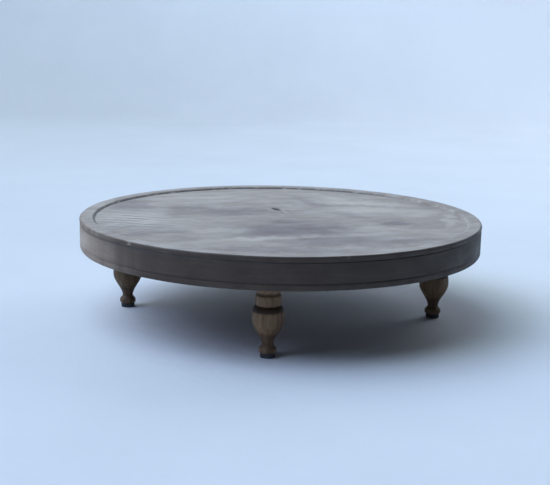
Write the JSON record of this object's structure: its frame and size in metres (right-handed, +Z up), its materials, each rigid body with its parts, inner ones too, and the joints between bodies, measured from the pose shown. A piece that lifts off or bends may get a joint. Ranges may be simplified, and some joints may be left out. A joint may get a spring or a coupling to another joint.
{
  "type": "turntable display stand",
  "caption": "Round wooden display stand with a shallow dished top that turns on a ring bearing, over a base plate on short turned legs.",
  "frame": {"origin": "on the floor, at the centre of the footprint, under the middle of the platter", "axes": "+Z up along the axis that the platter turns on, -Y towards the front leg, +X towards the right leg"},
  "size_m": [0.3, 0.3, 0.0755],
  "materials": {
    "platter_wood": "weathered grey-brown, matt, worn grain",
    "hoop_wood": "weathered grey-brown, matt",
    "base_wood": "weathered grey-brown, matt",
    "leg_wood": "turned, stained warm brown, satin",
    "pad_rubber": "matt black",
    "ring_steel": "zinc plated",
    "ball_steel": "polished",
    "cage_nylon": "natural moulded",
    "screw_steel": "yellow zinc plated"
  },
  "bodies": {
    "base": {"base_plate": "base_wood", "bearing_outer_ring": "ring_steel", "outer_ring_screw_1": "screw_steel", "outer_ring_screw_2": "screw_steel", "outer_ring_screw_3": "screw_steel", "outer_ring_screw_4": "screw_steel", "leg_front": "leg_wood", "leg_screw_front": "screw_steel", "foot_pad_front": "pad_rubber", "leg_right": "leg_wood", "leg_screw_right": "screw_steel", "foot_pad_right": "pad_rubber", "leg_back": "leg_wood", "leg_screw_back": "screw_steel", "foot_pad_back": "pad_rubber", "leg_left": "leg_wood", "leg_screw_left": "screw_steel", "foot_pad_left": "pad_rubber"},
    "ball_set": {"ball_cage": "cage_nylon", "bearing_ball_01": "ball_steel", "bearing_ball_02": "ball_steel", "bearing_ball_03": "ball_steel", "bearing_ball_04": "ball_steel", "bearing_ball_05": "ball_steel", "bearing_ball_06": "ball_steel", "bearing_ball_07": "ball_steel", "bearing_ball_08": "ball_steel", "bearing_ball_09": "ball_steel", "bearing_ball_10": "ball_steel", "bearing_ball_11": "ball_steel", "bearing_ball_12": "ball_steel"},
    "platter": {"platter_top": "platter_wood", "platter_rim_hoop": "hoop_wood", "bearing_inner_ring": "ring_steel", "inner_ring_screw_1": "screw_steel", "inner_ring_screw_2": "screw_steel", "inner_ring_screw_3": "screw_steel", "inner_ring_screw_4": "screw_steel"}
  },
  "joints": [
    {"name": "platter_spin", "type": "hinge", "parent": "base", "child": "platter", "pos_m": [0, 0, 0.06115], "axis": [0, 0, 1], "continuous": true},
    {"name": "cage_spin", "type": "hinge", "parent": "base", "child": "ball_set", "pos_m": [0, 0, 0.06115], "axis": [0, 0, 1], "continuous": true}
  ],
  "couplings": [
    {"joint": "cage_spin", "follows": "platter_spin", "ratio": 0.4893}
  ]
}
